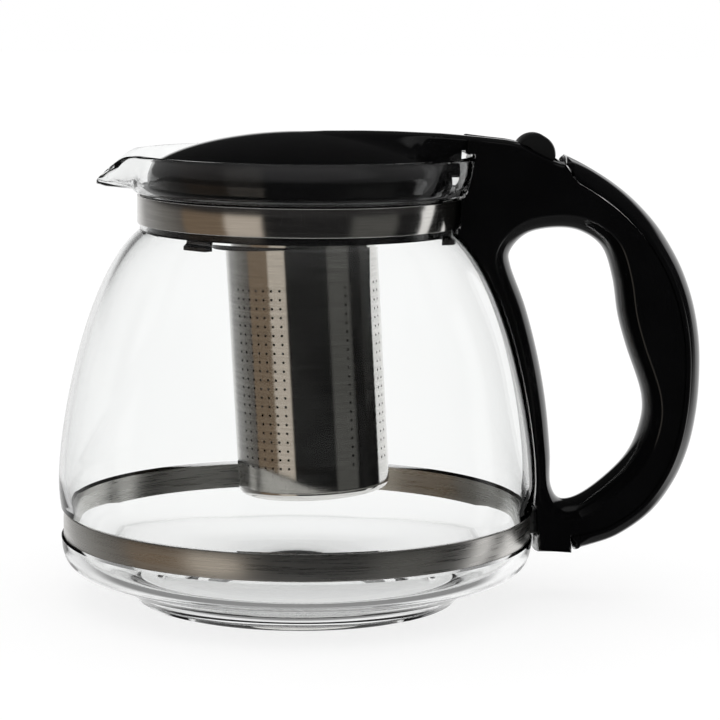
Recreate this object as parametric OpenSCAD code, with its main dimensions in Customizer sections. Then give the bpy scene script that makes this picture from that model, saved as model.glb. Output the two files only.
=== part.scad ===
// Glass teapot with a hinged lid, a strapped-on handle and a hanging infuser.
// Origin: centre of the foot, on the surface the pot stands on.
// +Z is up, the handle points along +X and the pouring lip along -X.

/* [Glass] */
// Largest outer radius of the belly
belly_r = 77.5; // [76:0.5:79]
// Outer radius of the foot
foot_r = 53; // [50:0.5:55]
// Outer radius of the neck, under its band
neck_r = 51.35; // [51:0.05:51.5]
// Outer radius of the rim
rim_r = 56.4; // [56:0.1:57]
// Height of the rim
rim_z = 144.5; // [144:0.5:146]
// Wall thickness of the glass
glass_t = 2; // [1.6:0.1:2.2]

/* [Bands] */
// Thickness of both steel bands
band_t = 0.8; // [0.6:0.1:0.9]
// Width of the neck band
neck_band_w = 8.9; // [8:0.1:9.2]
// Width of the base band
base_band_w = 8.4; // [8:0.1:9]
// Outer radius of the base band
base_band_r = 76; // [75.8:0.1:76.1]

/* [Handle] */
// Width of the handle, side to side
handle_w = 24; // [22:0.5:28]
// Depth of the back cover, from the outer edge to its seam
cover_depth = 6; // [5:0.5:6.5]
// Width of the slot that the lid's arm swings in
slot_w = 17.2; // [16:0.1:17.6]

/* [Lid] */
// Radius of the lid's skirt
lid_r = 49; // [47:0.5:49.5]
// Wall thickness of the lid
lid_t = 2; // [1.6:0.1:2.4]
// Radius of the thumb pad
thumb_r = 6.4; // [6:0.1:6.6]
// Radius of the hinge pin
pin_r = 1.5; // [1.25:0.05:1.6]

/* [Infuser] */
// Outer radius of the perforated tube
tube_r = 24.5; // [22:0.5:25]
// How far the tube leans towards the handle, in degrees
tube_lean = 3.5; // [0:0.5:3.5]
// Distance between neighbouring holes
hole_pitch = 9; // [7:0.1:11]
// Diameter of one hole
hole_d = 3; // [0.8:0.1:3.5]
// Rows of holes
hole_rows = 7; // [3:1:7]
// Columns of holes in each of the four panels
hole_columns = 3; // [1:1:3]

/* [Hidden] */
$fn = 96;

// Heights of the bands and of the glass features beside them
neck_band_z = 121.9;
neck_band_top = neck_band_z + neck_band_w;
base_band_z = 21;
base_band_top = base_band_z + base_band_w;
seat_gap = 0.05;
seat_r = base_band_r - band_t - seat_gap;
neck_inner_r = neck_r - glass_t;
ledge_top_z = 133.2;
ledge_inner_r = 51.9;
floor_z = 4.2;

// Handle clearances round the glass and the bands
glass_gap = 0.4;
handle_half = handle_w / 2;

// Hinge axis and the centre of the thumb pad
pivot = [70.5, 143.5];
thumb = [75, 145];
pin_gap = 0.05;
knuckle_r = 5.2;
sweep_r = norm(thumb - pivot) + thumb_r + 0.55;
arm_w = slot_w - 0.9;

// Lid heights
skirt_z = 133.3;
liner_t = 1.8;

// Band fixings: heights of the screw axes and places along them
neck_screw_z = 126.8;
neck_seat_x = 62;
base_screw_z = 25.2;
base_seat_x = 84.5;
screw_r = 2;
screw_gap = 0.1;
head_r = 3.4;
head_h = 2.6;
access_r = 3.75;
washer_t = 0.6;
nut_w = 9.6;
nut_h = 7.6;
nut_t = 5;

// Infuser: height of the point that the leaning tube turns about, and its own levels
lean_z = 125;
tube_t = 0.5;
tube_top = -4;
tube_bottom = -90;
base_cup_h = 3;
ring_r = neck_inner_r - 0.45;
ring_z = 118.8;
web_t = 2;
socket_r = 27.5;
socket_h = 5;
flange_r = 50.3;
lug_r = 50.1;
clamp_h = 2.4;

// Angle between neighbouring columns of holes, and the level one pitch below the lowest row
column_angle = hole_pitch / tube_r * 180 / PI;
first_hole = -86.5;

// Point at parameter t of the cubic curve with control points p
function bezier_point(p, t) =
  pow(1 - t, 3) * p[0] + 3 * t * pow(1 - t, 2) * p[1] + 3 * t * t * (1 - t) * p[2] + pow(t, 3) * p[3];

// The curve as n + 1 points
function bezier(p, n = 16) = [for (i = [0:n]) bezier_point(p, i / n)];

// Point between b and c of the smooth curve through a, b, c, d
function spline_point(a, b, c, d, t) =
  0.5 * (2 * b + (c - a) * t + (2 * a - 5 * b + 4 * c - d) * t * t + (3 * b - a - 3 * c + d) * t * t * t);

// Smooth open curve through the points p, with n steps between neighbours
function open_spline(p, n = 5) =
  let (last = len(p) - 1)
  [for (i = [0:last - 1], k = [0:n - 1])
     spline_point(p[max(i - 1, 0)], p[i], p[i + 1], p[min(i + 2, last)], k / n), p[last]];

// Smooth closed curve through the points p
function closed_spline(p, n = 4) =
  let (m = len(p))
  [for (i = [0:m - 1], k = [0:n - 1])
     spline_point(p[(i + m - 1) % m], p[i], p[(i + 1) % m], p[(i + 2) % m], k / n)];

// Direction of the curve p at point i, as a unit vector
function direction(p, i) =
  let (d = p[min(i + 1, len(p) - 1)] - p[max(i - 1, 0)]) d / norm(d);

// The curve p moved by d to its right, seen along its direction
function inset(p, d) = [for (i = [0:len(p) - 1]) let (u = direction(p, i)) p[i] + d * [u[1], -u[0]]];

function reversed(p) = [for (i = [len(p) - 1:-1:0]) p[i]];

// Outer wall of the glass, from the foot to the rim, as radius and height
heel_corner = bezier([[base_band_r + 0.7, 20.4], [base_band_r + 0.5, 13.5], [74.5, 11.2], [70.5, 10.4]], 8);
heel_slope = bezier([[70.5, 10.4], [65.5, 9.4], [60, 6.6], [foot_r, 1.2]], 8);
shoulder = bezier([[neck_r, 119.6], [69.3, 105.7], [belly_r, 55], [belly_r, 39]], 28);
collar_foot = bezier([[neck_r, neck_band_top + 0.2], [neck_r, 132], [53.4, 131.4], [54.1, 133]], 6);
glass_outer = concat(
  [[foot_r - 0.6, 0], [foot_r, 0.5]], reversed(heel_slope), reversed(heel_corner),
  [[seat_r, 20.4], [seat_r, base_band_top + 0.4], [belly_r - 0.7, base_band_top + 0.7]],
  reversed(shoulder), collar_foot, [[55.2, 137.8], [rim_r, rim_z - 0.8], [rim_r - 0.3, rim_z - 0.2]]);

// Inner wall of the glass, from the rim to the floor
heel_inner = concat(
  bezier([[73.1, 27], [74.3, 13.8], [70.2, 13.2], [63, 10]], 8),
  part_of(bezier([[63, 10], [58, 7.7], [54, 4.7], [49, floor_z + 0.3]], 5), 1, 5));
shoulder_inner = bezier([[neck_inner_r, 118.2], [67.6, 104.4], [belly_r - glass_t, 55], [belly_r - glass_t, 39]], 24);
glass_inner = concat(
  [[rim_r - 0.9, rim_z], [rim_r - 1.6, rim_z - 0.3], [rim_r - 1.9, rim_z - 1]],
  [[ledge_inner_r + 1.3, 137.8], [ledge_inner_r, ledge_top_z], [neck_inner_r, neck_band_top]],
  shoulder_inner, heel_inner, [[46, floor_z], [0, floor_z - 0.2]]);

// Pouring lip: a cone that leans at 45 degrees, so that its floor lies level and its nose is upright
lip_x = -65.3;
lip_z = 133;
lip_cut_x = -51.5;
lip_dip = 34;

module lip_cone(shift) {
  translate([lip_x + shift, 0, lip_z + shift]) rotate([0, 45, 0]) cylinder(h = 40, r1 = 0, r2 = 40);
}

module lip_blank() {
  intersection() {
    lip_cone(0);
    translate([lip_x, -30, lip_z]) cube([19, 60, rim_z - lip_z]);
    difference() {
      cylinder(r = 90, h = 200);
      translate([0, 0, -1]) cylinder(r = 53.4, h = 202);
    }
  }
}

module glass_body() {
  color([0.85, 0.92, 0.92, 0.35])
  difference() {
    union() {
      rotate_extrude() polygon(concat([[0, 1.4], [44, 1.4], [46, 0]], glass_outer, glass_inner));
      lip_blank();
    }
    intersection() {
      lip_cone(glass_t);
      translate([lip_x, -30, lip_z]) cube([25, 60, 20]);
    }
    translate([lip_cut_x, -40, rim_z]) rotate([0, -lip_dip, 0]) translate([-40, 0, 0]) cube([40, 80, 20]);
  }
}

// A plain strap lying on the glass
module band(r, z, w) {
  color("silver")
  translate([0, 0, z]) rotate_extrude() translate([r - band_t, 0]) square([band_t, w]);
}

module neck_band() band(neck_r + seat_gap + band_t, neck_band_z, neck_band_w);

module base_band() band(base_band_r, base_band_z, base_band_w);

// A cylinder along +X that starts at the point [x, 0, z]
module bar(x, z, r, h) translate([x, 0, z]) rotate([0, 90, 0]) cylinder(r = r, h = h);

// Threaded block welded to the outside of a band of radius r
module band_nut(r, z) {
  color("gray")
  difference() {
    translate([r - 1, -nut_w / 2, z - nut_h / 2]) cube([nut_t + 1, nut_w, nut_h]);
    translate([0, 0, z - nut_h]) cylinder(r = r, h = 2 * nut_h);
    bar(r - 2, z, screw_r + screw_gap / 2, nut_t + 3);
  }
}

module neck_band_nut() band_nut(neck_r + seat_gap + band_t, neck_screw_z);

module base_band_nut() band_nut(base_band_r, base_screw_z);

// Washer under a screw head that sits at x
module washer(x, z) {
  color("silver")
  difference() {
    bar(x, z, head_r, washer_t);
    bar(x - 1, z, screw_r + 0.15, washer_t + 2);
  }
}

module neck_band_washer() washer(neck_seat_x, neck_screw_z);

module base_band_washer() washer(base_seat_x, base_screw_z);

// Screw whose head rests on the washer at x and whose tip is at tip_x
module band_screw(x, tip_x, z) {
  color("gray")
  difference() {
    union() {
      bar(tip_x, z, screw_r, x + washer_t - tip_x);
      bar(x + washer_t, z, head_r, head_h);
    }
    translate([x + washer_t + head_h - 1.2, -head_r - 1, z - 0.4]) cube([2, 2 * head_r + 2, 0.8]);
    translate([x + washer_t + head_h - 1.2, -0.4, z - 2.2]) cube([2, 0.8, 4.4]);
  }
}

module neck_band_screw() band_screw(neck_seat_x, neck_r + 1.6, neck_screw_z);

module base_band_screw() band_screw(base_seat_x, base_band_r + 1, base_screw_z);

// Handle outlines in the XZ plane, as curves through a few points
outer_curve = open_spline([[84.8, 144.8], [92, 141.2], [100.5, 136], [108, 130], [115, 122.5], [120.5, 114.3],
  [124.5, 106.3], [127.8, 96.5], [129.8, 85.5], [130.3, 74], [129.6, 62], [127.3, 50], [122.8, 38.8],
  [115.5, 28.5], [105.5, 21], [97, 17.6], [90, 16]]);
seam_curve = inset(outer_curve, cover_depth);
seam_start = [86.8, 138.2];
finger_curve = closed_spline([[83, 121.2], [73.6, 119.4], [68.1, 114], [68.2, 108.6], [73.2, 95.5], [77.5, 79.8],
  [80.5, 64], [82.2, 48.2], [82.7, 37], [86.6, 32], [94.7, 35], [106.3, 45.7], [111.2, 56.4], [111.7, 67],
  [106.3, 82.7], [103.3, 93.1], [101.3, 105], [97.8, 114.8], [91, 119.9]]);
head_top = [[52.4, 145.3], [52.4, 150.4], [53, 151], [60, 150.3], [66, 149.7], [70, 149.1], [84, 142.4], seam_start];
seam_end = seam_curve[len(seam_curve) - 1];
frame_bottom = [seam_end - [0.15, 0], [89.8, 15.8], [89.2, 15.5], [77.6, 15.3], [76.9, 16]];
glass_side = [[76.9, 31], [70, 50], [60, 85], [45, 112], [45, 144]];

// Curve points from first to last
function part_of(p, first, last) = [for (i = [first:last]) p[i]];
seam_inner = part_of(seam_curve, 4, len(seam_curve) - 2);

// An outline in the XZ plane given a thickness w across the handle
module across(w) rotate([90, 0, 0]) translate([0, 0, -w / 2]) linear_extrude(w) children();

// Everything inside the outer wall of the glass and the bands, with a small gap all round
module glass_envelope() {
  rotate_extrude() polygon(concat([[0, 0]], [for (p = glass_outer) p + [glass_gap, 0]],
    [[rim_r + glass_gap, rim_z + 0.8], [0, rim_z + 0.8]]));
  translate([0, 0, neck_band_z - glass_gap])
    cylinder(r = neck_r + seat_gap + band_t + glass_gap / 2, h = neck_band_w + 2 * glass_gap);
  translate([0, 0, base_band_z - glass_gap])
    cylinder(r = base_band_r + glass_gap / 2, h = base_band_w + 2 * glass_gap);
}

// Space that the lid's arm, knuckle and thumb pad swing through
module lid_slot() {
  across(slot_w) {
    translate(pivot) circle(r = sweep_r);
    translate([60, pivot[1]]) square([pivot[0] + sweep_r - 60, 20]);
    translate([40, rim_z + 0.3]) square([30, 20]);
    translate([60, 136]) square([10, 12]);
  }
}

// Hollow along the back of the grip, closed by the back cover
module grip_hollow(w, first, last, depth) {
  rib = part_of(seam_curve, first, last);
  across(w) polygon(concat(inset(rib, -0.5), reversed(inset(rib, depth))));
}

// Clearance for a nut, its screw, washer and head, out to the back cover
module fixing_bore(r, z, seat_x, out_x) {
  translate([r - 1, -nut_w / 2 - 0.3, z - nut_h / 2 - 0.3]) cube([nut_t + 1.4, nut_w + 0.6, nut_h + 0.6]);
  bar(r, z, screw_r + screw_gap, seat_x - r + 1);
  bar(seat_x, z, access_r, out_x - seat_x);
}

module handle_frame() {
  color([0.05, 0.05, 0.055])
  difference() {
    across(handle_w) polygon(concat(head_top, seam_inner, frame_bottom, glass_side));
    across(handle_w + 2) polygon(finger_curve);
    glass_envelope();
    lid_slot();
    grip_hollow(slot_w, 24, 64, 6.5);
    fixing_bore(neck_r + seat_gap + band_t, neck_screw_z, neck_seat_x, 115);
    fixing_bore(base_band_r, base_screw_z, base_seat_x, 115);
    pin_hole(pin_r);
  }
}

// The pin's hole is blind on the near side and open on the far side
module pin_hole(r) {
  translate([pivot[0], handle_half + 1, pivot[1]]) rotate([90, 0, 0]) cylinder(r = r, h = handle_w + 0.2);
}

module handle_back() {
  color([0.05, 0.05, 0.055])
  difference() {
    across(handle_w) polygon(concat(outer_curve, reversed(part_of(seam_curve, 4, len(seam_curve) - 1)), [seam_start]));
    across(slot_w) polygon(concat(inset(part_of(outer_curve, 4, len(outer_curve) - 4), 2.2),
      reversed(inset(part_of(outer_curve, 4, len(outer_curve) - 4), cover_depth + 1))));
  }
  color([0.05, 0.05, 0.055])
  for (i = [28, 44, 60]) cover_clip(i);
}

// Tongue on the back cover that plugs into the hollow of the grip
module cover_clip(i) {
  a = part_of(outer_curve, i, i + 2);
  across(slot_w - 0.4) polygon(concat(inset(a, 2), reversed(inset(a, cover_depth + 3))));
}

module hinge_pin() {
  color("silver")
  translate([pivot[0], handle_half - 0.4, pivot[1]]) rotate([90, 0, 0]) cylinder(r = pin_r, h = handle_w - 1.2);
}

// Half section of the lid's dome
dome_top = bezier([[0, 151.3], [20, 151.1], [38, 146.6], [45.6, 141.6]], 10);
dome_shoulder = bezier([[45.6, 141.6], [48, 140], [lid_r, 138.6], [lid_r, 136]], 6);
dome_under = bezier([[0, 149.3], [19, 149.1], [37, 144.6], [44, 139.9]], 10);

// Side view of the arm, from the dome to the hinge
arm_ridge = [[1, 151.3], [12, 151.75], [30, 151.65], [45, 151.1], [52, 150.6], [60, 149.9], [66, 149.3], [70.5, 148.7]];
arm_under = [[70.5, 139.2], [64.5, 140.4], [61.5, 142.4], [59.6, 145.6], [51.8, 145.6], [51.8, 137], [44, 137],
             [40, 143.5], [12, 148.5], [1, 150]];

// Positions of the liner's screws
lid_screw_pcd = 38;
lid_screw_angles = [60, 180, 300];

module at_lid_screws() for (a = lid_screw_angles) rotate([0, 0, a]) translate([lid_screw_pcd, 0, 0]) children();

// Pin bore through the lid's knuckle
module knuckle_bore(r) {
  translate([pivot[0], handle_w, pivot[1]]) rotate([90, 0, 0]) cylinder(r = r, h = 2 * handle_w);
}

module lid_cover() {
  color([0.04, 0.04, 0.045])
  difference() {
    union() {
      rotate_extrude() polygon(concat(dome_top, dome_shoulder, [[lid_r, skirt_z], [lid_r - lid_t, skirt_z],
        [lid_r - lid_t, 137], [44, 139.9]], reversed(dome_under)));
      at_lid_screws() translate([0, 0, skirt_z + liner_t]) cylinder(r = 3.2, h = 9);
      across(arm_w) {
        polygon(concat(arm_ridge, arm_under));
        translate(pivot) circle(r = knuckle_r);
        translate(thumb) circle(r = thumb_r - 2);
      }
    }
    knuckle_bore(pin_r + pin_gap);
    at_lid_screws() translate([0, 0, skirt_z]) cylinder(r = 1.4, h = 8);
  }
}

module lid_liner() {
  color([0.04, 0.04, 0.045])
  difference() {
    translate([0, 0, skirt_z]) cylinder(r = lid_r - lid_t - 0.1, h = liner_t);
    at_lid_screws() translate([0, 0, skirt_z - 1]) cylinder(r = 1.5, h = 5);
    at_lid_screws() translate([0, 0, skirt_z - 1]) cylinder(r = 2.7, h = 1.9);
  }
}

module lid_screws() {
  color("silver")
  at_lid_screws() translate([0, 0, skirt_z + 0.1]) {
    cylinder(r = 2.6, h = 0.8);
    cylinder(r = 1.4, h = 7);
  }
}

// Cap that wraps the rear and top of the arm's end
module thumb_pad() {
  color([0.09, 0.09, 0.09])
  across(arm_w)
  difference() {
    translate(thumb) circle(r = thumb_r);
    translate(thumb) circle(r = thumb_r - 2);
    translate(pivot) circle(r = knuckle_r);
    polygon(concat(arm_ridge, arm_under));
    translate([60, 130]) square([11.2, 40]);
  }
}

// Turns its children with the leaning tube
module leaning() translate([0, 0, lean_z]) rotate([0, -tube_lean, 0]) children();

module infuser_collar() {
  color([0.05, 0.05, 0.05])
  difference() {
    union() {
      rotate_extrude() polygon([[socket_r - 1, ring_z], [ring_r, ring_z], [ring_r, 131.9], [flange_r, 131.9],
        [flange_r, 133], [ring_r - 2, 133], [ring_r - 2, ring_z + web_t], [socket_r - 1, ring_z + web_t]]);
      leaning() translate([0, 0, tube_top - socket_h]) cylinder(r = socket_r + 1.6, h = socket_h);
      leaning() translate([0, 0, tube_top - 1]) cylinder(r = socket_r + 3.6, h = clamp_h + 1);
      for (a = [-130, -10, 110]) rotate([0, 0, a]) lug();
    }
    leaning() translate([0, 0, tube_top - 20]) cylinder(r = tube_r + 0.1, h = 40);
    leaning() translate([0, 0, tube_top]) cylinder(r = socket_r + 2, h = 20);
  }
}

// Small lug that catches under the glass neck
module lug() {
  rotate([0, 0, -5]) rotate_extrude(angle = 10)
    polygon([[ring_r - 2.4, ring_z - 2.9], [lug_r, ring_z - 2.9], [lug_r, ring_z - 1.8], [ring_r, ring_z - 1],
      [ring_r, ring_z + 0.2], [ring_r - 2.4, ring_z + 0.2]]);
}

module infuser_clamp_ring() {
  color([0.05, 0.05, 0.05])
  leaning() translate([0, 0, tube_top + tube_t])
    rotate_extrude() translate([tube_r - 1, 0]) square([socket_r + 2.6 - tube_r, clamp_h]);
}

module infuser_tube() {
  color("silver")
  leaning()
  difference() {
    union() {
      translate([0, 0, tube_bottom + base_cup_h])
        cylinder(r = tube_r, h = tube_top - tube_bottom - base_cup_h + tube_t);
      translate([0, 0, tube_top]) cylinder(r = socket_r + 1, h = tube_t);
    }
    translate([0, 0, tube_bottom]) cylinder(r = tube_r - tube_t, h = tube_top - tube_bottom + 2);
    for (panel = [52, 142, 232, 322], column = [1:hole_columns], row = [1:hole_rows])
      tube_hole(panel + (column - (hole_columns + 1) / 2) * column_angle, first_hole + row * hole_pitch);
  }
}

// One straight hole through the wall of the tube
module tube_hole(a, z) {
  rotate([0, 0, a]) translate([tube_r - 3, 0, z]) rotate([0, 90, 0]) cylinder(d = hole_d, h = 6, $fn = 24);
}

module infuser_base() {
  color("silver")
  leaning() translate([0, 0, tube_bottom])
  rotate_extrude() polygon(concat([[0, 0], [tube_r - 2.5, 0]],
    [for (i = [1:5]) [tube_r - 2.5 + 2.5 * sin(i * 18), 2.5 - 2.5 * cos(i * 18)]],
    [[tube_r, base_cup_h], [tube_r - tube_t - 0.05, base_cup_h], [tube_r - tube_t - 0.05, 7],
     [tube_r - 2 * tube_t, 7], [tube_r - 2 * tube_t, 3], [tube_r - 3, tube_t], [0, tube_t]]));
}

glass_body();
neck_band();
neck_band_nut();
neck_band_washer();
neck_band_screw();
base_band();
base_band_nut();
base_band_washer();
base_band_screw();
handle_frame();
handle_back();
hinge_pin();
lid_cover();
lid_liner();
lid_screws();
thumb_pad();
infuser_collar();
infuser_clamp_ring();
infuser_tube();
infuser_base();
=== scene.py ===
import math

import bmesh
import bpy
from mathutils import Matrix, Vector
from mathutils.geometry import tessellate_polygon


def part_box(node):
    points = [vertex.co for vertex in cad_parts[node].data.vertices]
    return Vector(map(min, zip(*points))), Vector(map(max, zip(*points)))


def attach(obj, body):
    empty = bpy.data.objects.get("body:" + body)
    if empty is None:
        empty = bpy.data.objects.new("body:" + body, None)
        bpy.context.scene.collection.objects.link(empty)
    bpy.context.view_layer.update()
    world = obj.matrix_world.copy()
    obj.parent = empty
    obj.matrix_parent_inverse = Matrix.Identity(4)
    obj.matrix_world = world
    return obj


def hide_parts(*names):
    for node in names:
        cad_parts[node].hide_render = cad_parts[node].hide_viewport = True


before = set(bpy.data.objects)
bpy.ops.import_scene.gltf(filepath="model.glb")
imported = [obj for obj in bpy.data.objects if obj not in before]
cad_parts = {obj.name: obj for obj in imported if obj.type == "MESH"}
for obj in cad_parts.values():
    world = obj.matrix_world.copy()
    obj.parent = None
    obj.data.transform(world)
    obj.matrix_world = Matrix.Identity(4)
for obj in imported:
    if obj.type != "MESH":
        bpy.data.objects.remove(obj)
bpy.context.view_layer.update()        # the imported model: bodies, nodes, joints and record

MM = 0.001
TAU = 2 * math.pi


# ---------------------------------------------------------------- curves and profiles (millimetres)

def bezier(p, n):
    """n + 1 points of the cubic curve with control points p."""
    out = []
    for i in range(n + 1):
        t = i / n
        a, b, c, d = (1 - t) ** 3, 3 * t * (1 - t) ** 2, 3 * t * t * (1 - t), t ** 3
        out.append(tuple(a * p[0][k] + b * p[1][k] + c * p[2][k] + d * p[3][k] for k in (0, 1)))
    return out


def spline_point(a, b, c, d, t):
    """Point between b and c of the smooth curve through a, b, c, d."""
    return tuple(0.5 * (2 * b[k] + (c[k] - a[k]) * t + (2 * a[k] - 5 * b[k] + 4 * c[k] - d[k]) * t * t
                        + (3 * b[k] - a[k] - 3 * c[k] + d[k]) * t ** 3) for k in (0, 1))


def open_spline(p, n):
    """Smooth curve through the points p, with n steps between neighbours."""
    out = []
    for i in range(len(p) - 1):
        q = [p[max(i - 1, 0)], p[i], p[i + 1], p[min(i + 2, len(p) - 1)]]
        out += [spline_point(*q, k / n) for k in range(n)]
    return out + [tuple(p[-1])]


def closed_spline(p, n):
    """The same for a closed loop."""
    m = len(p)
    return [spline_point(p[i - 1], p[i], p[(i + 1) % m], p[(i + 2) % m], k / n)
            for i in range(m) for k in range(n)]


def inset(points, d):
    """The open curve moved by d to its right."""
    out = []
    for i, (x, z) in enumerate(points):
        a, b = points[max(i - 1, 0)], points[min(i + 1, len(points) - 1)]
        ux, uz = b[0] - a[0], b[1] - a[1]
        size = math.hypot(ux, uz)
        out.append((x + d * uz / size, z - d * ux / size))
    return out


def interp(table, x):
    """Straight-line interpolation in a short table of (x, y) pairs."""
    if x <= table[0][0]:
        return table[0][1]
    for (x0, y0), (x1, y1) in zip(table, table[1:]):
        if x <= x1:
            return y0 + (y1 - y0) * (x - x0) / (x1 - x0)
    return table[-1][1]


def smooth_table(table, x):
    """As interp, with an eased curve between the pairs."""
    if x <= table[0][0]:
        return table[0][1]
    for (x0, y0), (x1, y1) in zip(table, table[1:]):
        if x <= x1:
            t = (x - x0) / (x1 - x0)
            t = t * t * (3 - 2 * t)
            return y0 + (y1 - y0) * t
    return table[-1][1]


def smooth_max(a, b, k):
    """The larger of a and b, blended where they differ by less than k."""
    h = max(0.0, k - abs(a - b)) / k
    return max(a, b) + h * h * k / 4


# ---------------------------------------------------------------- mesh helpers

def new_object(name, verts, faces, material, body, nodes, sharp_deg):
    """A finished piece from vertices in millimetres."""
    mesh = bpy.data.meshes.new(name)
    mesh.from_pydata([tuple(c * MM for c in v) for v in verts], [], faces)
    obj = bpy.data.objects.new(name, mesh)
    bpy.context.scene.collection.objects.link(obj)
    finish_mesh(obj, sharp_deg)
    dress(obj, material, body, nodes)


def finish_mesh(obj, sharp_deg):
    """Joins doubled points, points the normals outwards and splits shading at sharp edges."""
    bm = bmesh.new()
    bm.from_mesh(obj.data)
    bmesh.ops.remove_doubles(bm, verts=bm.verts, dist=2e-6)
    bmesh.ops.dissolve_degenerate(bm, edges=bm.edges, dist=1e-6)
    bmesh.ops.recalc_face_normals(bm, faces=bm.faces)
    limit = math.radians(sharp_deg)
    for f in bm.faces:
        f.smooth = True
    for e in bm.edges:
        e.smooth = len(e.link_faces) == 2 and e.calc_face_angle(0) < limit
    bm.to_mesh(obj.data)
    bm.free()


def dress(obj, material, body, nodes):
    """Gives a piece its material and its place in the assembly."""
    obj.data.materials.clear()
    obj.data.materials.append(material)
    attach(obj, body)
    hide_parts(*nodes)


def ring_faces(pairs, segments):
    """Faces between pairs of rings of vertex numbers. A pole is a ring of one repeated number."""
    faces = []
    for a, b in pairs:
        for k in range(segments):
            j = (k + 1) % segments
            quad = [a[k], a[j], b[j], b[k]]
            face = [v for i, v in enumerate(quad) if v not in quad[:i]]
            if len(face) > 2:
                faces.append(face)
    return faces


def turned_mesh(profile, segments, place, closed):
    """Vertices and faces of a profile turned about Z. place(r, z, angle, i) gives the vertex of point i."""
    verts, rings = [], []
    for i, (r, z) in enumerate(profile):
        if r < 1e-6:
            rings.append([len(verts)] * segments)
            verts.append(place(r, z, 0, i))
        else:
            rings.append(list(range(len(verts), len(verts) + segments)))
            verts += [place(r, z, TAU * k / segments, i) for k in range(segments)]
    after = rings[1:] + rings[:1] if closed else rings[1:]
    return verts, ring_faces(zip(rings, after), segments)


def round_point(r, z, angle, _):
    """Vertex of a plain turned shape."""
    return r * math.cos(angle), r * math.sin(angle), z


def lathe_mesh(profile, segments):
    """Vertices and faces of a closed profile turned about Z."""
    return turned_mesh(profile, segments, round_point, True)


# A crowned edge follows a circle up to this sine, which reaches this share of the radius
BULGE = 0.82
BULGE_DEPTH = 1 - math.sqrt(1 - BULGE ** 2)


def crown_rows(half, fillet, steps):
    """Rows across a plate: y, how far out the row lies (0 to 1), and the share of the corner's rounding."""
    near = [(-half, 1.0, 1.0), (-half + 0.3 * fillet, 1.0, 0.45), (-half + fillet, 1.0, 0.0)]
    middle = [((half - fillet) * i / steps, abs(i) / steps, 0.0) for i in range(1 - steps, steps)]
    return near + middle + [(-y, out, corner) for y, out, corner in reversed(near)]


def inward_normals(points, inward):
    """Directions from each point of a closed outline into the plate, a little longer at corners."""
    n = len(points)
    area = sum(points[i - 1][0] * points[i][1] - points[i][0] * points[i - 1][1] for i in range(n))
    side = inward if area > 0 else -inward
    normals = []
    for i, (x, z, _) in enumerate(points):
        before, after = points[i - 1], points[(i + 1) % n]
        ax, az, bx, bz = x - before[0], z - before[1], after[0] - x, after[1] - z
        la, lb = math.hypot(ax, az) or 1, math.hypot(bx, bz) or 1
        nx, nz = -(az / la + bz / lb), (ax / la + bx / lb)
        size = math.hypot(nx, nz) or 1
        stretch = min(1.6, 2 / size)
        normals.append((side * nx / size * stretch, side * nz / size * stretch))
    return normals


def crowned(outer, hole, half, fillet=0.7, steps=7):
    """A plate across Y whose edges bulge. outer and hole are lists of (x, z, crown)."""
    verts, faces, ends = [], [], []
    for points, inward in ((outer, 1), (hole, -1)):
        if not points:
            continue
        normals = inward_normals(points, inward)
        n = len(points)
        index = []
        for y, out, corner in crown_rows(half, fillet, steps):
            bulge = (1 - math.sqrt(1 - (BULGE * out) ** 2)) / BULGE_DEPTH
            index.append(list(range(len(verts), len(verts) + n)))
            for (x, z, crown), (nx, nz) in zip(points, normals):
                d = crown * bulge + corner * fillet * (0.22 + 0.78 * min(1, crown))
                verts.append((x + nx * d, y, z + nz * d))
        for a, b in zip(index, index[1:]):
            faces += [(a[k], a[(k + 1) % n], b[(k + 1) % n], b[k]) for k in range(n)]
        ends.append((index[0], index[-1]))
    for side in (0, 1):
        ids = [i for end in ends for i in end[side]]
        flat = [[Vector((verts[i][0], verts[i][2], 0)) for i in end[side]] for end in ends]
        faces += [tuple(ids[i] for i in tri) for tri in tessellate_polygon(flat)]
    return verts, faces


def temp_object(verts, faces):
    """A closed solid from vertices in millimetres, still without a material."""
    mesh = bpy.data.meshes.new("tool")
    mesh.from_pydata([tuple(c * MM for c in v) for v in verts], [], faces)
    obj = bpy.data.objects.new("tool", mesh)
    bpy.context.scene.collection.objects.link(obj)
    bm = bmesh.new()
    bm.from_mesh(mesh)
    bmesh.ops.remove_doubles(bm, verts=bm.verts, dist=2e-6)
    bmesh.ops.recalc_face_normals(bm, faces=bm.faces)
    bm.to_mesh(mesh)
    bm.free()
    return obj


def boolean(obj, operation, tools):
    """Applies the tools, which are deleted, to obj."""
    for tool in tools:
        mod = obj.modifiers.new("cut", "BOOLEAN")
        mod.operation = operation
        mod.solver = "EXACT"
        mod.object = tool
        graph = bpy.context.evaluated_depsgraph_get()
        graph.update()
        mesh = bpy.data.meshes.new_from_object(obj.evaluated_get(graph))
        obj.modifiers.clear()
        old = obj.data
        obj.data = mesh
        bpy.data.meshes.remove(old)
        bpy.data.objects.remove(tool)


def made(name, verts, faces, material, body, nodes, sharp_deg, joins=(), cuts=()):
    """A finished piece, with solids joined to it and then others cut from it."""
    obj = temp_object(verts, faces)
    boolean(obj, "UNION", joins)
    boolean(obj, "DIFFERENCE", cuts)
    obj.name = obj.data.name = name
    finish_mesh(obj, sharp_deg)
    dress(obj, material, body, nodes)


def cylinder_y(x, z, r, half, segments=64, bevel=0.6):
    """A short cylinder along Y with rounded ends."""
    near = [(0, -half), (r - bevel, -half), (r - 0.3 * bevel, -half + 0.3 * bevel), (r, -half + bevel)]
    verts, faces = lathe_mesh(near + [(a, -b) for a, b in reversed(near)], segments)
    return [(x + a, c, z - b) for a, b, c in verts], faces


# ---------------------------------------------------------------- materials

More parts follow.
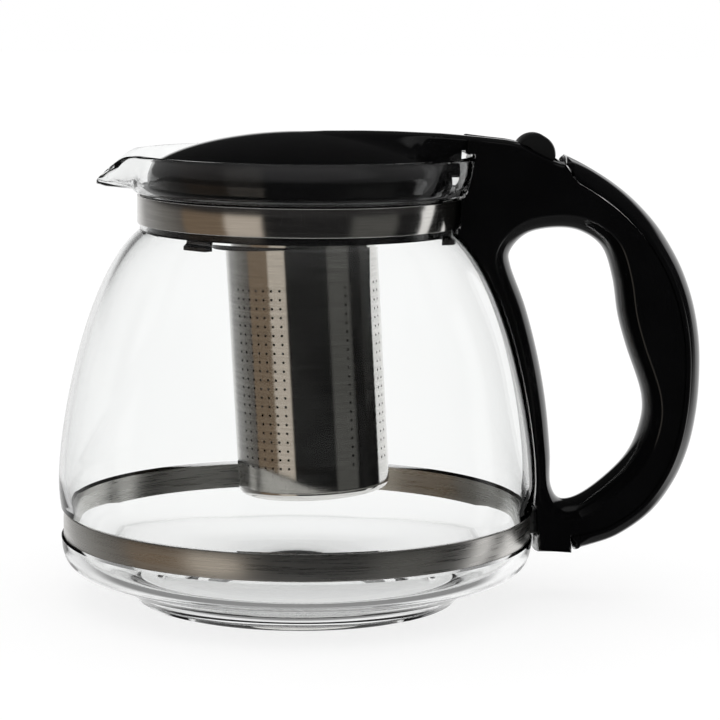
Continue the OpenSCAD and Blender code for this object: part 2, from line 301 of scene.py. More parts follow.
def material(name, colour, roughness, metallic=0.0, transmission=0.0, ior=1.5, specular=0.5,
             anisotropic=0.0):
    """A Principled material, with its nodes, its links and its shader."""
    mat = bpy.data.materials.new(name)
    mat.use_nodes = True
    nodes, links = mat.node_tree.nodes, mat.node_tree.links
    shader = nodes["Principled BSDF"]
    shader.inputs["Base Color"].default_value = (*colour, 1)
    shader.inputs["Roughness"].default_value = roughness
    shader.inputs["Metallic"].default_value = metallic
    shader.inputs["Transmission Weight"].default_value = transmission
    shader.inputs["IOR"].default_value = ior
    shader.inputs["Specular IOR Level"].default_value = specular
    shader.inputs["Anisotropic"].default_value = anisotropic
    return mat, nodes, links, shader


def mapped(nodes, links, scale):
    """Object coordinates times a scale."""
    coord = nodes.new("ShaderNodeTexCoord")
    mapping = nodes.new("ShaderNodeMapping")
    mapping.inputs["Scale"].default_value = scale
    links.new(coord.outputs["Object"], mapping.inputs["Vector"])
    return mapping.outputs["Vector"]


def noise(nodes, links, vector, scale, detail):
    n = nodes.new("ShaderNodeTexNoise")
    n.inputs["Scale"].default_value = scale
    n.inputs["Detail"].default_value = detail
    links.new(vector, n.inputs["Vector"])
    return n.outputs["Fac"]


def ramp(nodes, links, fac, stops):
    """Colour by fac. stops is a list of (position, colour)."""
    r = nodes.new("ShaderNodeValToRGB")
    e = r.color_ramp.elements
    e[0].position, e[0].color = stops[0][0], (*stops[0][1], 1)
    e[1].position, e[1].color = stops[-1][0], (*stops[-1][1], 1)
    for position, colour in stops[1:-1]:
        e.new(position).color = (*colour, 1)
    links.new(fac, r.inputs["Fac"])
    return r.outputs["Color"]


def bump(nodes, links, shader, height, strength, distance):
    b = nodes.new("ShaderNodeBump")
    b.inputs["Strength"].default_value = strength
    b.inputs["Distance"].default_value = distance
    links.new(height, b.inputs["Height"])
    links.new(b.outputs["Normal"], shader.inputs["Normal"])


def plastic(name, colour, rough_low, rough_high, grain, grain_height, specular=0.5):
    """Moulded plastic: slight roughness variation and a fine surface grain."""
    mat, nodes, links, shader = material(name, colour, rough_low, specular=specular)
    vector = mapped(nodes, links, (1, 1, 1))
    broad = noise(nodes, links, vector, 60, 4)
    links.new(ramp(nodes, links, broad, [(0.3, (rough_low,) * 3), (0.7, (rough_high,) * 3)]),
              shader.inputs["Roughness"])
    dark, light = [tuple(c * k for c in colour) for k in (0.85, 1.15)]
    links.new(ramp(nodes, links, broad, [(0.35, dark), (0.65, light)]), shader.inputs["Base Color"])
    bump(nodes, links, shader, noise(nodes, links, vector, grain, 2), 0.5, grain_height)
    return mat


def steel(name, colour, roughness, stretch, line_scale, line_height, anisotropic):
    """Steel with fine brush lines. stretch is small along the lines."""
    mat, nodes, links, shader = material(name, colour, roughness, metallic=1.0, anisotropic=anisotropic)
    vector = mapped(nodes, links, stretch)
    lines = noise(nodes, links, vector, line_scale, 4)
    dark, light = [tuple(min(1, c * k) for c in colour) for k in (0.9, 1.06)]
    links.new(ramp(nodes, links, lines, [(0.3, dark), (0.7, light)]), shader.inputs["Base Color"])
    smooth, rough = (roughness * 0.75,) * 3, (roughness * 1.25,) * 3
    links.new(ramp(nodes, links, lines, [(0.3, smooth), (0.7, rough)]), shader.inputs["Roughness"])
    if anisotropic:
        shader.inputs["Anisotropic Rotation"].default_value = 0.25
        tangent = nodes.new("ShaderNodeTangent")
        tangent.direction_type = "RADIAL"
        tangent.axis = "Z"
        links.new(tangent.outputs["Tangent"], shader.inputs["Tangent"])
    bump(nodes, links, shader, lines, 0.35, line_height)
    return mat


def clear_glass():
    """Clear glass with a faint, uneven tint. The low index keeps the thick heel and foot light."""
    mat, nodes, links, shader = material("glass", (0.98, 0.985, 0.983), 0.0, transmission=1.0, ior=1.2)
    unevenness = noise(nodes, links, mapped(nodes, links, (1, 1, 1)), 9, 2)
    tint = ramp(nodes, links, unevenness, [(0.3, (0.962, 0.968, 0.965)), (0.7, (0.972, 0.976, 0.974))])
    links.new(tint, shader.inputs["Base Color"])
    return mat


glass = clear_glass()
black_gloss = plastic("black_gloss", (0.002, 0.002, 0.0022), 0.05, 0.1, 1800, 0.000004)
black_satin = plastic("black_satin", (0.008, 0.008, 0.0085), 0.16, 0.24, 1500, 0.00001)
black_matte = plastic("black_matte", (0.006, 0.006, 0.006), 0.4, 0.5, 2600, 0.00004, specular=0.25)
band_steel = steel("band_steel", (0.66, 0.645, 0.62), 0.14, (1, 1, 40), 60, 0.000004, 0.7)
base_steel = steel("base_steel", (0.7, 0.685, 0.655), 0.3, (1, 1, 40), 60, 0.000004, 0.5)
infuser_steel = steel("infuser_steel", (0.7, 0.69, 0.67), 0.08, (1, 1, 30), 50, 0.0000008, 0.5)
fixing_steel = steel("fixing_steel", (0.55, 0.55, 0.54), 0.3, (1, 1, 1), 900, 0.00001, 0.0)

# ---------------------------------------------------------------- glass body

RIM_Z = 144.5
BELLY_R, BELLY_IN_R = 77.5, 75.5
NECK_R, NECK_IN_R = 51.35, 49.35
COLLAR_R = 56.0
# Seen from above, the lip is a parabola with its tip at X, which opens with the height over Z
LIP_X, LIP_Z = 65.3, 133.0
LIP_IN_X, LIP_IN_Z = 63.3, 135.0
LIP_WIDTH = 1.7
# How far round the collar the lip reaches (radians), where it starts and how softly it joins
LIP_ANGLE = 1.1
LIP_START_Z = 131.0
LIP_BLEND = 5.0

# Outer and inner wall, as radius and height
heel_corner = bezier([(76.7, 20.4), (76.5, 13.5), (74.5, 11.2), (70.5, 10.4)], 14)
heel_slope = bezier([(70.5, 10.4), (65.5, 9.4), (60, 6.6), (53, 1.2)], 16)
shoulder = bezier([(NECK_R, 119.6), (69.3, 105.7), (BELLY_R, 55), (BELLY_R, 39)], 44)
foot = [(0, 1.6), (20, 1.6), (38, 1.6), (43.2, 1.5), (44.6, 0.9), (46.2, 0.15), (47.2, 0), (51.6, 0),
        (52.6, 0.3)]
base_groove = [(76.0, 20.75), (75.15, 21.0), (75.15, 29.4), (76.0, 29.8), (76.8, 30.2), (77.2, 33),
               (77.42, 36)]
neck_outer = [(NECK_R, 122), (NECK_R, 127), (NECK_R, 130.6)]
body_outer = foot + heel_slope[::-1] + heel_corner[::-1][1:] + base_groove + shoulder[::-1] + neck_outer
collar_outer = (bezier([(NECK_R, 130.8), (51.4, 132.4), (53.5, 131.2), (54.1, 133.2)], 8)
                + [(54.6, 135.4), (55.2, 137.8), (55.8, 140.8), (56.3, 143.2), (56.35, 143.9), (56.1, 144.3)])
rim_inner = [(55.6, 144.48), (55.0, 144.4), (54.6, 144.0)]
collar_wall = [(54.4, 143.3), (53.9, 140.8), (53.3, 137.8), (52.7, 135.2), (51.9, 133.3)]
ledge = bezier([(51.9, 133.3), (51.0, 132.2), (49.4, 131.8), (NECK_IN_R, 130.6)], 6)[1:]
collar_inner = rim_inner + collar_wall + ledge
shoulder_in = bezier([(NECK_IN_R, 118.2), (67.6, 104.4), (BELLY_IN_R, 55), (BELLY_IN_R, 39)], 40)
heel_in = (bezier([(73.1, 27), (74.3, 13.8), (70.2, 13.2), (63, 10)], 14)
           + bezier([(63, 10), (58, 7.7), (54, 4.7), (49, 4.3)], 8)[1:])
pot_floor = [(40, 4.15), (24, 4.05), (8, 4.0), (0, 4.0)]
body_inner = [(NECK_IN_R, 127), (NECK_IN_R, 122)] + shoulder_in + [(74.9, 33)] + heel_in + pot_floor

# Height of the rim by its distance towards the lip
LIP_RIM = open_spline([(50.5, RIM_Z), (53, 144.4), (55.1, 143.9), (57.2, 142.7), (59.8, 140.6), (62.4, 138.2),
                       (64.3, 136.3), (65.3, 135.0), (67, 133.6)], 5)


def lip_radius(apex, h, phi):
    """Distance from the pot's axis to the lip with its tip at apex, at height h over its lowest point."""
    if h <= 0.02 or abs(phi) > 1.2:
        return 0.0
    s, c, k = math.sin(phi), math.cos(phi), h * LIP_WIDTH
    if abs(s) < 1e-3:
        return apex
    return (-k * c + math.sqrt(k * k * c * c + 2 * k * apex * s * s)) / (s * s)


def collar_radius(r, z, phi, inner):
    """Radius of the collar at height z, phi away from the lip, where the plain collar has radius r."""
    apex, base = (LIP_IN_X, LIP_IN_Z) if inner else (LIP_X, LIP_Z)
    return min(apex, smooth_max(r, lip_radius(apex, z - base, phi), LIP_BLEND))


def rim_height(phi):
    """Height of the rim at phi from the lip, found where the collar meets the rim's curve."""
    top = RIM_Z
    for _ in range(12):
        reach = collar_radius(COLLAR_R, top, phi, False) * math.cos(phi)
        top = 0.5 * top + 0.5 * interp(LIP_RIM, reach)
    return top


def drawn_out(r, z, phi, inner):
    """Radius and height of a collar point after the lip is drawn out of it."""
    top = rim_height(phi)
    share = max(0.0, (z - LIP_START_Z) / (RIM_Z - LIP_START_Z))
    height = z if z < LIP_START_Z else LIP_START_Z + (top - LIP_START_Z) * share
    if top <= RIM_Z - 0.02:
        wall = collar_wall + ledge if inner else collar_outer[:-1]
        by_height = sorted([(b, a) for a, b in wall], key=lambda q: q[0])
        r = interp(by_height, height) + (r - interp(by_height, z))
    return collar_radius(r, height, phi, inner), height


def build_glass():
    """The vessel, with the lip at -X."""
    profile = body_outer + collar_outer + collar_inner + body_inner
    first = len(body_outer)
    rim = first + len(collar_outer)
    last = rim + len(collar_inner)

    def place(r, z, angle, i):
        phi = math.atan2(math.sin(angle - math.pi), math.cos(angle - math.pi))
        if first <= i < last and abs(phi) < LIP_ANGLE:
            r, z = drawn_out(r, z, phi, i >= rim)
        return r * math.cos(angle), r * math.sin(angle), z

    verts, faces = turned_mesh(profile, 384, place, False)
    new_object("glass_vessel", verts, faces, glass, "teapot", ["glass_body"], sharp_deg=50)


build_glass()

# ---------------------------------------------------------------- bands

# Thickness of the straps and radius of their edges
BAND_T, BAND_EDGE = 0.8, 0.18


def band(name, cad_node, mat):
    """A strap with rounded edges, as wide and as large as the CAD's."""
    lo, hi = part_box(cad_node)
    r, z0, z1 = hi[0] / MM, lo[2] / MM, hi[2] / MM
    inside, edge, corner = r - BAND_T, r - BAND_EDGE, r - 0.3 * BAND_EDGE
    lower = [(inside, z0), (edge, z0), (corner, z0 + 0.3 * BAND_EDGE), (r, z0 + BAND_EDGE)]
    upper = [(r, z1 - BAND_EDGE), (corner, z1 - 0.3 * BAND_EDGE), (edge, z1), (inside, z1)]
    verts, faces = lathe_mesh(lower + [(r, (z0 + z1) / 2)] + upper, 256)
    new_object(name, verts, faces, mat, "teapot", [cad_node], sharp_deg=60)


band("neck_strap", "neck_band", band_steel)
band("base_strap", "base_band", base_steel)

# ---------------------------------------------------------------- handle

# Curves of the handle in the XZ plane. The back cover reaches in from the outer curve to the seam.
HANDLE_HALF = 12.0
COVER_DEPTH, SEAM_GAP = 6, 0.1
SEAM_START = (86.8, 138.2)
outer_curve = open_spline([(84.8, 144.8), (92, 141.2), (100.5, 136), (108, 130), (115, 122.5),
                           (120.5, 114.3), (124.5, 106.3), (127.8, 96.5), (129.8, 85.5), (130.3, 74),
                           (129.6, 62), (127.3, 50), (122.8, 38.8), (115.5, 28.5), (105.5, 21), (97, 17.6),
                           (90, 16)], 8)
seam_curve = inset(outer_curve, COVER_DEPTH)
finger_curve = closed_spline([(83, 121.2), (73.6, 119.4), (68.1, 114), (68.2, 108.6), (73.2, 95.5),
                              (77.5, 79.8), (80.5, 64), (82.2, 48.2), (82.7, 37), (86.6, 32), (94.7, 35),
                              (106.3, 45.7), (111.2, 56.4), (111.7, 67), (106.3, 82.7), (103.3, 93.1),
                              (101.3, 105), (97.8, 114.8), (91, 119.9)], 7)
FULL_CROWN = 4.5
# Height, and radius of the glass there, that the thin rib has to keep clear of
GLASS_SIDE = [(20, 76.4), (30.4, 77), (40, 77.9), (60, 75.7), (80, 71.6), (99, 65.3), (107.4, 61.4),
              (119.6, 52)]


def finger_crown(x, z):
    """How far the opening's edge is set in at the handle's side faces: little on the thin rib."""
    if x < 90 and z < 112:
        return max(1.2, min(FULL_CROWN, x - interp(GLASS_SIDE, z) - 0.9))
    return FULL_CROWN


# Outline points are (x, z, crown)
head_top = [(52.4, 145.3, 0.2), (52.4, 149.9, 0.6), (52.7, 150.7, 0.8), (53.4, 151.0, 0.9), (60, 150.3, 1.0),
            (66, 149.7, 1.0), (70, 149.1, 1.2), (75, 146.7, 1.2), (80, 144.3, 1.2), (83.4, 142.9, 1.0),
            (84.6, 142.3, 0.6), (85.4, 141.0, 0.2), (*SEAM_START, 0.0)]
tail_end = [(seam_curve[-1][0] - 0.2, seam_curve[-1][1], 0.1), (89.8, 16.2, 0.8), (89.2, 15.6, 1.2),
            (78.2, 15.4, 1.5), (77.0, 16.2, 1.2)]
inside_glass = [(76.9, 31, 0.2), (70, 50, 0.2), (60, 85, 0.2), (45, 112, 0.2), (45, 144, 0.2)]
frame_outline = head_top + [(x, z, 0.0) for x, z in seam_curve[8:-1]] + tail_end + inside_glass
finger_outline = [(x, z, finger_crown(x, z)) for x, z in finger_curve]


def envelope():
    """The filled outside of the glass and bands with a small gap, to cut the handle with."""
    gap = 0.4
    profile = [(0, -1), (53, -1)]
    profile += [(r + gap, z) for r, z in heel_slope[::-1] + heel_corner[::-1]]
    profile += [(76.4, 20.6), (76.4, 30.0), (77.2 + gap, 31.5), (77.42 + gap, 36)]
    profile += [(r + gap, z) for r, z in shoulder[::-1]]
    profile += [(NECK_R + gap, 121.5), (52.6, 121.6), (52.6, 131.2), (53.6, 131.4),
                (54.2 + gap, 133.2), (55.2 + gap, 137.8), (56.4 + gap, 143.8), (56.4 + gap, 145.3),
                (0, 145.3)]
    return temp_object(*lathe_mesh(profile, 256))


# Hinge axis, centre of the thumb rest, and the slot that the arm swings in with a clearance
PIVOT, THUMB = (70.5, 143.5), (75.0, 145.0)
THUMB_R = 6.4
SWEEP_R = math.dist(PIVOT, THUMB) + THUMB_R + 0.55
ARM_HALF, SLOT_HALF = 8.15, 8.6


def plate(points, half):
    """A flat plate across Y with this outline."""
    n = len(points)
    verts = [(x, y, z) for y in (-half, half) for x, z in points]
    faces = [tuple(range(n)), tuple(range(2 * n - 1, n - 1, -1))]
    faces += [(i, (i + 1) % n, n + (i + 1) % n, n + i) for i in range(n)]
    return temp_object(verts, faces)


def slot_cutters():
    """The space that the lid's arm swings through."""
    disc = [(PIVOT[0] + SWEEP_R * math.cos(TAU * k / 72), PIVOT[1] + SWEEP_R * math.sin(TAU * k / 72))
            for k in range(72)]
    rear = PIVOT[0] + SWEEP_R
    arm_space = [(59.9, 136), (70, 136), (70, PIVOT[1]), (rear, PIVOT[1]), (rear, 165), (40, 165),
                 (40, 144.8), (59.9, 144.8)]
    return [plate(disc, SLOT_HALF), plate(arm_space, SLOT_HALF)]


def build_handle_frame():
    """The handle's frame, cut to fit the glass and the lid's arm."""
    verts, faces = crowned(frame_outline, finger_outline, HANDLE_HALF)
    made("handle_grip", verts, faces, black_gloss, "teapot", ["handle_frame"],
         cuts=[envelope(), *slot_cutters()], sharp_deg=28)


build_handle_frame()


def cover_crown(i):
    """Crown of the back cover at point i of its outer curve, less towards both ends."""
    return 4.0 * min(1, 0.35 + i / 12) * min(1, 0.4 + (len(outer_curve) - 1 - i) / 12)


def build_handle_back():
    """The back cover, between the outer curve and the seam."""
    seam_side = inset(outer_curve, COVER_DEPTH - SEAM_GAP)[8:][::-1]
    seam_end = (SEAM_START[0] + 2 * SEAM_GAP, SEAM_START[1] + SEAM_GAP, 0.0)
    outline = [(x, z, cover_crown(i)) for i, (x, z) in enumerate(outer_curve)]
    outline += [(x, z, 0.0) for x, z in seam_side] + [seam_end]
    verts, faces = crowned(outline, None, HANDLE_HALF)
    made("handle_cover", verts, faces, black_gloss, "teapot", ["handle_back"], sharp_deg=28)


build_handle_back()

# ---------------------------------------------------------------- lid

dome_top = bezier([(0, 151.3), (20, 151.1), (38, 146.6), (45.6, 141.6)], 30)
dome_shoulder = bezier([(45.6, 141.6), (48, 140), (49, 138.6), (49, 136)], 10)
# Height of the arm's ridge and half width of its fairing, by distance towards the hinge. The fairing rises
# out of the dome between the first two distances.
FAIRING_START, FAIRING_FULL = -6, 8
RIDGE_CROWN = 0.012
RIDGE = [(-2, 151.2), (8, 151.6), (20, 151.75), (30, 151.65), (45, 151.1), (52, 150.6), (60, 149.9),
         (66, 149.3)]
FLARE = [(FAIRING_START, 2), (4, 9), (14, 17), (24, 22), (30, 23), (35, 20), (39, 14.5), (42, 10.5),
         (44, 9), (60, 9)]


def lid_z(x, y, z):
    """Height of the lid over a dome point at height z: the arm's fairing rises out of the dome."""
    if x < FAIRING_START:
        return z
    edge = smooth_table(FLARE, x)
    if abs(y) >= edge:
        return z
    rise = smooth_table([(FAIRING_START, 0), (FAIRING_FULL, 1)], x)
    flat = min(ARM_HALF - 0.3, max(edge * 0.4, edge - 1.5))
    t = max(0.0, (abs(y) - flat) / (edge - flat))
    ridge = interp(RIDGE, x) - RIDGE_CROWN * y * y
    return z + max(0.0, ridge - z) * rise * (1 - t) ** 2 * (1 + 1.2 * t)


def build_lid():
    """Dome with the arm, the knuckle and the round end that carries the thumb rest."""
    skirt = [(49, 134.0), (48.85, 133.5), (48.4, 133.3), (47.1, 133.3), (47.1, 136.4)]
    underside = [(44, 139.4), (30, 143.5), (0, 146.5)]
    profile = dome_top + dome_shoulder[1:] + skirt + underside
    # The fairing ends a little below the dome's edge
    faired = len(dome_top) + 5

    def place(r, z, angle, i):
        x, y = r * math.cos(angle), r * math.sin(angle)
        return x, y, lid_z(x, y, z) if i < faired else z

    verts, faces = turned_mesh(profile, 480, place, False)
    ridge = [(x, interp(RIDGE, x), 0.9) for x in (34, 40, 46, 50, 54, 58, 62, 66)]
    rear = [(70.2, 148.65, 0.9), (70.5, 144, 0.2), (70.5, 139.2, 0.6)]
    under = [(64.5, 140.4, 0.6), (61.5, 142.4, 0.6), (59.6, 145.6, 0.6), (51.8, 145.6, 0.6),
             (51.4, 137.2, 0.9), (46, 137.0, 0.6), (42, 143.0, 0.2), (34, 145.6, 0.2)]
    arm = temp_object(*crowned(ridge + rear + under, None, ARM_HALF, 0.5, 4))
    knuckle = temp_object(*cylinder_y(*PIVOT, 5.2, ARM_HALF))
    core = temp_object(*cylinder_y(*THUMB, 4.4, ARM_HALF - 0.3))
    bore = temp_object(*cylinder_y(*PIVOT, 1.55, 20, 48, 0.1))
    made("lid_shell", verts, faces, black_gloss, "lid", ["lid_cover"],
         joins=[arm, knuckle, core], cuts=[bore], sharp_deg=34)


build_lid()


def build_thumb_pad():
    """A soft round grip over the end of the lid's arm."""
    verts, faces = cylinder_y(*THUMB, THUMB_R, ARM_HALF, 96, 1.3)
    made("thumb_rest", verts, faces, black_matte, "lid", ["thumb_pad"], sharp_deg=40)


build_thumb_pad()

# ---------------------------------------------------------------- infuser

# The infuser's own heights count from its collar. LEAN tilts it and lifts it into the neck.
LEAN = Matrix.Translation((0, 0, 125)) @ Matrix.Rotation(math.radians(-3.5), 4, "Y")
TUBE_R = 24.5
WALLS = (TUBE_R, TUBE_R - 0.5)
TUBE_BOTTOM, TUBE_TOP, GRID_BOTTOM = -87.0, -7.4, -80.6
HOLE_R = 0.45
# Columns of the tube's grid, one every half pitch of the holes; a panel starts every quarter of them
COLUMNS = 108
PANEL_COLUMNS, PANEL_ROWS = 7, 21
PANEL_SHIFT = 7
# The grid starts 52 degrees round from the handle
FIRST_COLUMN = COLUMNS * 52 / 360


def leaning(verts):
    """The infuser's points in their place in the pot."""
    return [tuple(LEAN @ Vector(v)) for v in verts]


def tube_heights():
    """Heights of the grid's rows, and the first rows of the holes."""
    step = TAU * TUBE_R / COLUMNS
    grid = [GRID_BOTTOM + i * step for i in range(2 * PANEL_ROWS + 1)]
    below = [TUBE_BOTTOM, TUBE_BOTTOM + 3]
    above = [grid[-1] + 3, grid[-1] + 7, grid[-1] + 11, TUBE_TOP]
    first = len(below)
    return below + grid + above, range(first, first + 2 * PANEL_ROWS, 2)


def starts_hole(k):
    """Whether a hole of some panel starts at column k."""
    place = (k + PANEL_SHIFT) % (COLUMNS // 4)
    return place < 2 * PANEL_COLUMNS and place % 2 == 0


def around(r, column, z):
    """Point at a column, which may be a fraction, of a ring with radius r."""
    angle = TAU * (column + FIRST_COLUMN) / COLUMNS
    return r * math.cos(angle), r * math.sin(angle), z


def add_hole(verts, faces, index, heights, i, k):
    """A round hole through both walls, in the two by two cells that start at row i and column k."""
    j, m = (k + 1) % COLUMNS, (k + 2) % COLUMNS
    last = len(index) - 1
    edges = []
    for r, (a, b, c) in zip(WALLS, ((i, i + 1, i + 2), (last - i, last - i - 1, last - i - 2))):
        border = [index[a][k], index[a][j], index[a][m], index[b][m],
                  index[c][m], index[c][j], index[c][k], index[b][k]]
        edge = list(range(len(verts), len(verts) + 8))
        for q in range(8):
            turn = math.radians(-135 + 45 * q)
            column = k + 1 + HOLE_R * math.cos(turn) / TUBE_R * COLUMNS / TAU
            verts.append(around(r, column, heights[i + 1] + HOLE_R * math.sin(turn)))
        faces.extend((border[q - 1], border[q], edge[q], edge[q - 1]) for q in range(8))
        edges.append(edge)
    faces.extend((edges[0][q - 1], edges[0][q], edges[1][q], edges[1][q - 1]) for q in range(8))


def build_tube():
    """The tube with its flared top and four panels of real holes."""
    heights, hole_rows = tube_heights()
    flare = [(24.6, -6.2), (25.0, -5.1), (25.8, -4.3), (26.9, -4.0), (28.5, -4.0), (28.5, -3.5), (26.9, -3.5),
             (25.5, -3.8), (24.5, -4.8), (24.08, -6.2)]
    rows = [(WALLS[0], z) for z in heights] + flare + [(WALLS[1], z) for z in reversed(heights)]
    total = len(rows)
    verts = [around(r, k, z) for r, z in rows for k in range(COLUMNS)]
    index = [range(i * COLUMNS, (i + 1) * COLUMNS) for i in range(total)]
    holes = [(i, k) for i in hole_rows for k in range(COLUMNS) if starts_hole(k)]
    opened = {(i + a, (k + b) % COLUMNS) for i, k in holes for a in (0, 1) for b in (0, 1)}
    # The inside wall opens at the same places
    opened |= {(total - 2 - i, k) for i, k in opened}
    faces = []
    for i in range(total):
        a, b = index[i], index[(i + 1) % total]
        faces += [(a[k], a[(k + 1) % COLUMNS], b[(k + 1) % COLUMNS], b[k])
                  for k in range(COLUMNS) if (i, k) not in opened]
    for i, k in holes:
        add_hole(verts, faces, index, heights, i, k)
    new_object("infuser_sleeve", leaning(verts), faces, infuser_steel, "infuser",
               ["infuser_tube"], sharp_deg=30)


build_tube()


def build_cup():
    """The pressed bottom cup of the tube."""
    corner, bottom = 2.5, -90
    flat = TUBE_R - corner
    turns = [math.radians(a) for a in range(15, 91, 15)]
    profile = [(0, bottom), (18, bottom), (flat, bottom)]
    profile += [(flat + corner * math.sin(a), bottom + corner * (1 - math.cos(a))) for a in turns]
    profile += [(TUBE_R, -87.1), (23.9, -87.0), (23.9, -83.1), (23.5, -83.1), (23.5, -87), (21.5, -89.5),
                (0, -89.5)]
    verts, faces = lathe_mesh(profile, 180)
    new_object("infuser_cup", leaning(verts), faces, infuser_steel, "infuser",
               ["infuser_base"], sharp_deg=40)


build_cup()

# ---------------------------------------------------------------- CAD nodes that stay get their material

FIXINGS = ["neck_band_nut", "base_band_nut", "neck_band_washer", "base_band_washer", "neck_band_screw",
           "base_band_screw", "hinge_pin", "lid_screws"]
INNER_PLASTIC = ["lid_liner", "infuser_collar", "infuser_clamp_ring"]
for names, mat in ((FIXINGS, fixing_steel), (INNER_PLASTIC, black_satin)):
    for name in names:
        for material_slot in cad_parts[name].material_slots:
            material_slot.material = mat

# ---------------------------------------------------------------- floor

def floor_material():
    """Bright matte ground. Reflections see through it to the studio below."""
    mat, nodes, links, shader = material("floor", (0.25, 0.25, 0.25), 0.9, specular=0.0)
    shader.inputs["Emission Color"].default_value = (1, 1, 1, 1)
    shader.inputs["Emission Strength"].default_value = 0.77
    light_path = nodes.new("ShaderNodeLightPath")
    clear = nodes.new("ShaderNodeBsdfTransparent")
    mix = nodes.new("ShaderNodeMixShader")
    links.new(light_path.outputs["Glossy Depth"], mix.inputs["Fac"])
    links.new(shader.outputs[0], mix.inputs[1])
    links.new(clear.outputs[0], mix.inputs[2])
    links.new(mix.outputs[0], nodes["Material Output"].inputs["Surface"])
    return mat


def build_floor():
    """A wide disc just under the pot, in metres."""
    radius, height, rings = 6.0, -0.0002, 12
    profile = [(radius * i / rings, height) for i in range(rings, -1, -1)]
    verts, faces = turned_mesh(profile, 96, round_point, False)
    mesh = bpy.data.meshes.new("floor")
    mesh.from_pydata(verts, [], faces)
    mesh.materials.append(floor_material())
    floor = bpy.data.objects.new("floor", mesh)
    bpy.context.scene.collection.objects.link(floor)


build_floor()

# ---------------------------------------------------------------- surroundings

world = bpy.data.worlds.new("studio")
bpy.context.scene.world = world
world.use_nodes = True
w_nodes, w_links = world.node_tree.nodes, world.node_tree.links
w_nodes.clear()
coord = w_nodes.new("ShaderNodeTexCoord")
split = w_nodes.new("ShaderNodeSeparateXYZ")
w_links.new(coord.outputs["Generated"], split.inputs[0])


def maths(operation, a, b):
    """Result of a maths node on socket a and on b, which is a socket or a number."""
    n = w_nodes.new("ShaderNodeMath")
    n.operation = operation
    w_links.new(a, n.inputs[0])
    if isinstance(b, float):
        n.inputs[1].default_value = b
    else:
        w_links.new(b, n.inputs[1])
    return n.outputs[0]


turn = maths("ARCTAN2", split.outputs["X"], maths("MULTIPLY", split.outputs["Y"], -1.0))
turn01 = w_nodes.new("ShaderNodeMapRange")
turn01.inputs["From Min"].default_value = -math.pi
turn01.inputs["From Max"].default_value = math.pi
w_links.new(turn, turn01.inputs["Value"])

WHITE, GREY, BLACK = (1.0, 1.0, 1.0), (0.085, 0.085, 0.08), (0.008, 0.008, 0.008)
BROWN, CREAM, STRIP = (0.19, 0.14, 0.095), (0.55, 0.49, 0.42), (1.6, 1.6, 1.6)
CEILING, TABLE, ZENITH = (0.02, 0.02, 0.02), (0.1, 0.1, 0.1), (0.25, 0.25, 0.25)
# Surroundings by direction, in degrees from the camera's side, positive towards +X. UPPER lies over
# PANELS.
PANELS = [(-180, WHITE), (-156, (0.8, 0.8, 0.8)), (-140, (0.4, 0.4, 0.4)), (-112, (0.2, 0.195, 0.185)),
          (-92, (0.12, 0.11, 0.1)), (-88, BROWN), (-56, BROWN), (-52, CREAM), (-28, CREAM), (-25, BLACK),
          (34, BLACK), (40, GREY), (70, GREY), (75, BLACK), (94, BLACK), (97, STRIP), (106, STRIP),
          (109, BLACK), (117, BLACK), (122, WHITE), (180, WHITE)]
UPPER = [(-180, CEILING), (98, CEILING), (101, STRIP), (108, STRIP), (111, CEILING), (119, CEILING),
         (124, WHITE), (162, WHITE), (170, CEILING), (180, CEILING)]


def around_axis(panels):
    """Colour by direction round the vertical."""
    return ramp(w_nodes, w_links, turn01.outputs["Result"], [((a + 180) / 360, c) for a, c in panels])


def blend(a, b, zone):
    """Colour a below the zone of heights, colour b beyond it."""
    share = w_nodes.new("ShaderNodeMapRange")
    share.interpolation_type = "SMOOTHSTEP"
    share.inputs["From Min"].default_value, share.inputs["From Max"].default_value = zone
    w_links.new(split.outputs["Z"], share.inputs["Value"])
    mix = w_nodes.new("ShaderNodeMixRGB")
    w_links.new(share.outputs["Result"], mix.inputs["Fac"])
    for source, target in ((a, mix.inputs["Color1"]), (b, mix.inputs["Color2"])):
        if isinstance(source, tuple):
            target.default_value = (*source, 1)
        else:
            w_links.new(source, target)
    return mix.outputs["Color"]


path = w_nodes.new("ShaderNodeLightPath")
# The studio shows in reflections on the pieces. Light that only goes round inside a glass wall stays bright:
# wholly after two turns, and by this share after one.
ONE_TURN = 0.18
mirrored = maths("GREATER_THAN", path.outputs["Glossy Depth"], 0.5)
again = maths("GREATER_THAN", path.outputs["Glossy Depth"], 1.5)
in_glass = maths("GREATER_THAN", path.outputs["Transmission Depth"], 0.5)
behind_glass = maths("GREATER_THAN", path.outputs["Transmission Depth"], 3.5)
in_wall = maths("MULTIPLY", mirrored, maths("SUBTRACT", in_glass, behind_glass))
guided = maths("MULTIPLY", in_wall, maths("MAXIMUM", again, ONE_TURN))
on_a_piece = maths("SUBTRACT", mirrored, guided)

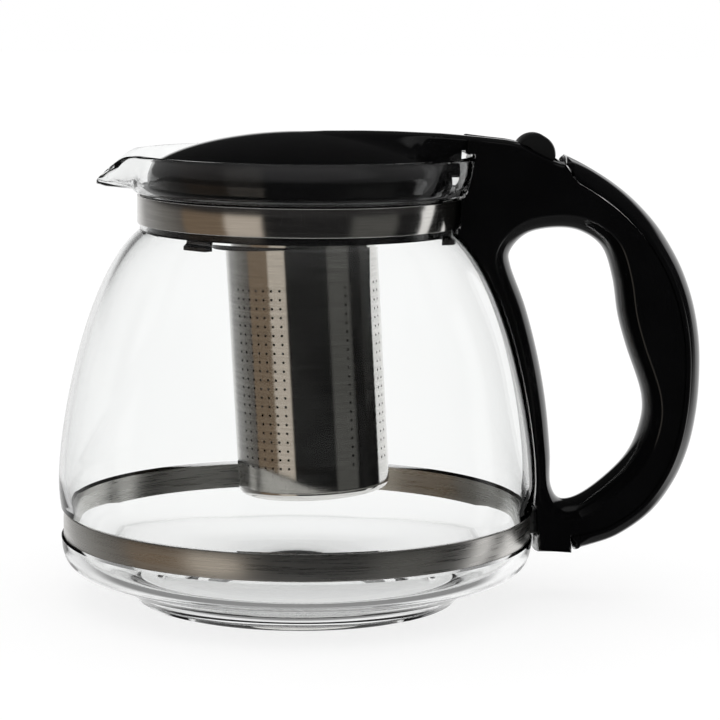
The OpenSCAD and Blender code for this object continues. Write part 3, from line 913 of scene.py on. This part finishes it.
# Pieces behind glass reflect a white table, the others a dark one
table = w_nodes.new("ShaderNodeMixRGB")
table.inputs["Color1"].default_value = (*TABLE, 1)
table.inputs["Color2"].default_value = (*WHITE, 1)
w_links.new(behind_glass, table.inputs["Fac"])
studio = blend(around_axis(PANELS), around_axis(UPPER), (0.03, 0.15))
studio = blend(studio, CEILING, (0.28, 0.42))
studio = blend(studio, ZENITH, (0.8, 0.9))
studio = blend(studio, table.outputs["Color"], (-0.42, -0.62))
seen = w_nodes.new("ShaderNodeMixRGB")
seen.use_clamp = True
seen.inputs["Color1"].default_value = (*WHITE, 1)
w_links.new(on_a_piece, seen.inputs["Fac"])
w_links.new(studio, seen.inputs["Color2"])
background = w_nodes.new("ShaderNodeBackground")
w_links.new(seen.outputs["Color"], background.inputs["Color"])
background.inputs["Strength"].default_value = 1.0
output = w_nodes.new("ShaderNodeOutputWorld")
w_links.new(background.outputs[0], output.inputs["Surface"])

# ---------------------------------------------------------------- light and camera

# A soft, weak light from above
top_data = bpy.data.lights.new("top_light", "AREA")
top_data.size = 1.6
top_data.energy = 2
top_light = bpy.data.objects.new("top_light", top_data)
top_light.location = (0, 0.1, 1.5)
top_light.rotation_euler = (-top_light.location).to_track_quat("-Z", "Y").to_euler()
top_light.visible_camera = False
top_light.visible_glossy = False
top_light.visible_transmission = False
bpy.context.scene.collection.objects.link(top_light)

# Camera, fitted to the outlines in the photo: distance and height (m), then angles (radians)
CAMERA_D, CAMERA_H, PITCH, YAW, ROLL = 0.84898, 0.20044, 0.143925, 0.023453, 0.011644
# Focal length in widths of the sensor
FOCAL_RATIO, SENSOR = 3.671806, 36
forward = Vector((math.sin(YAW) * math.cos(PITCH), math.cos(YAW) * math.cos(PITCH), -math.sin(PITCH)))
right = Vector((math.cos(YAW), -math.sin(YAW), 0))
up = right.cross(forward)
rolled_right = math.cos(ROLL) * right + math.sin(ROLL) * up
rolled_up = -math.sin(ROLL) * right + math.cos(ROLL) * up
camera_data = bpy.data.cameras.new("camera")
camera_data.sensor_width = SENSOR
camera_data.lens = FOCAL_RATIO * SENSOR
camera_data.clip_start = 0.01
camera = bpy.data.objects.new("camera", camera_data)
turned = Matrix((rolled_right, rolled_up, -forward)).transposed().to_4x4()
camera.matrix_world = Matrix.Translation((0, -CAMERA_D, CAMERA_H)) @ turned
bpy.context.scene.collection.objects.link(camera)
bpy.context.scene.camera = camera
bpy.context.scene.view_settings.view_transform = "Standard"
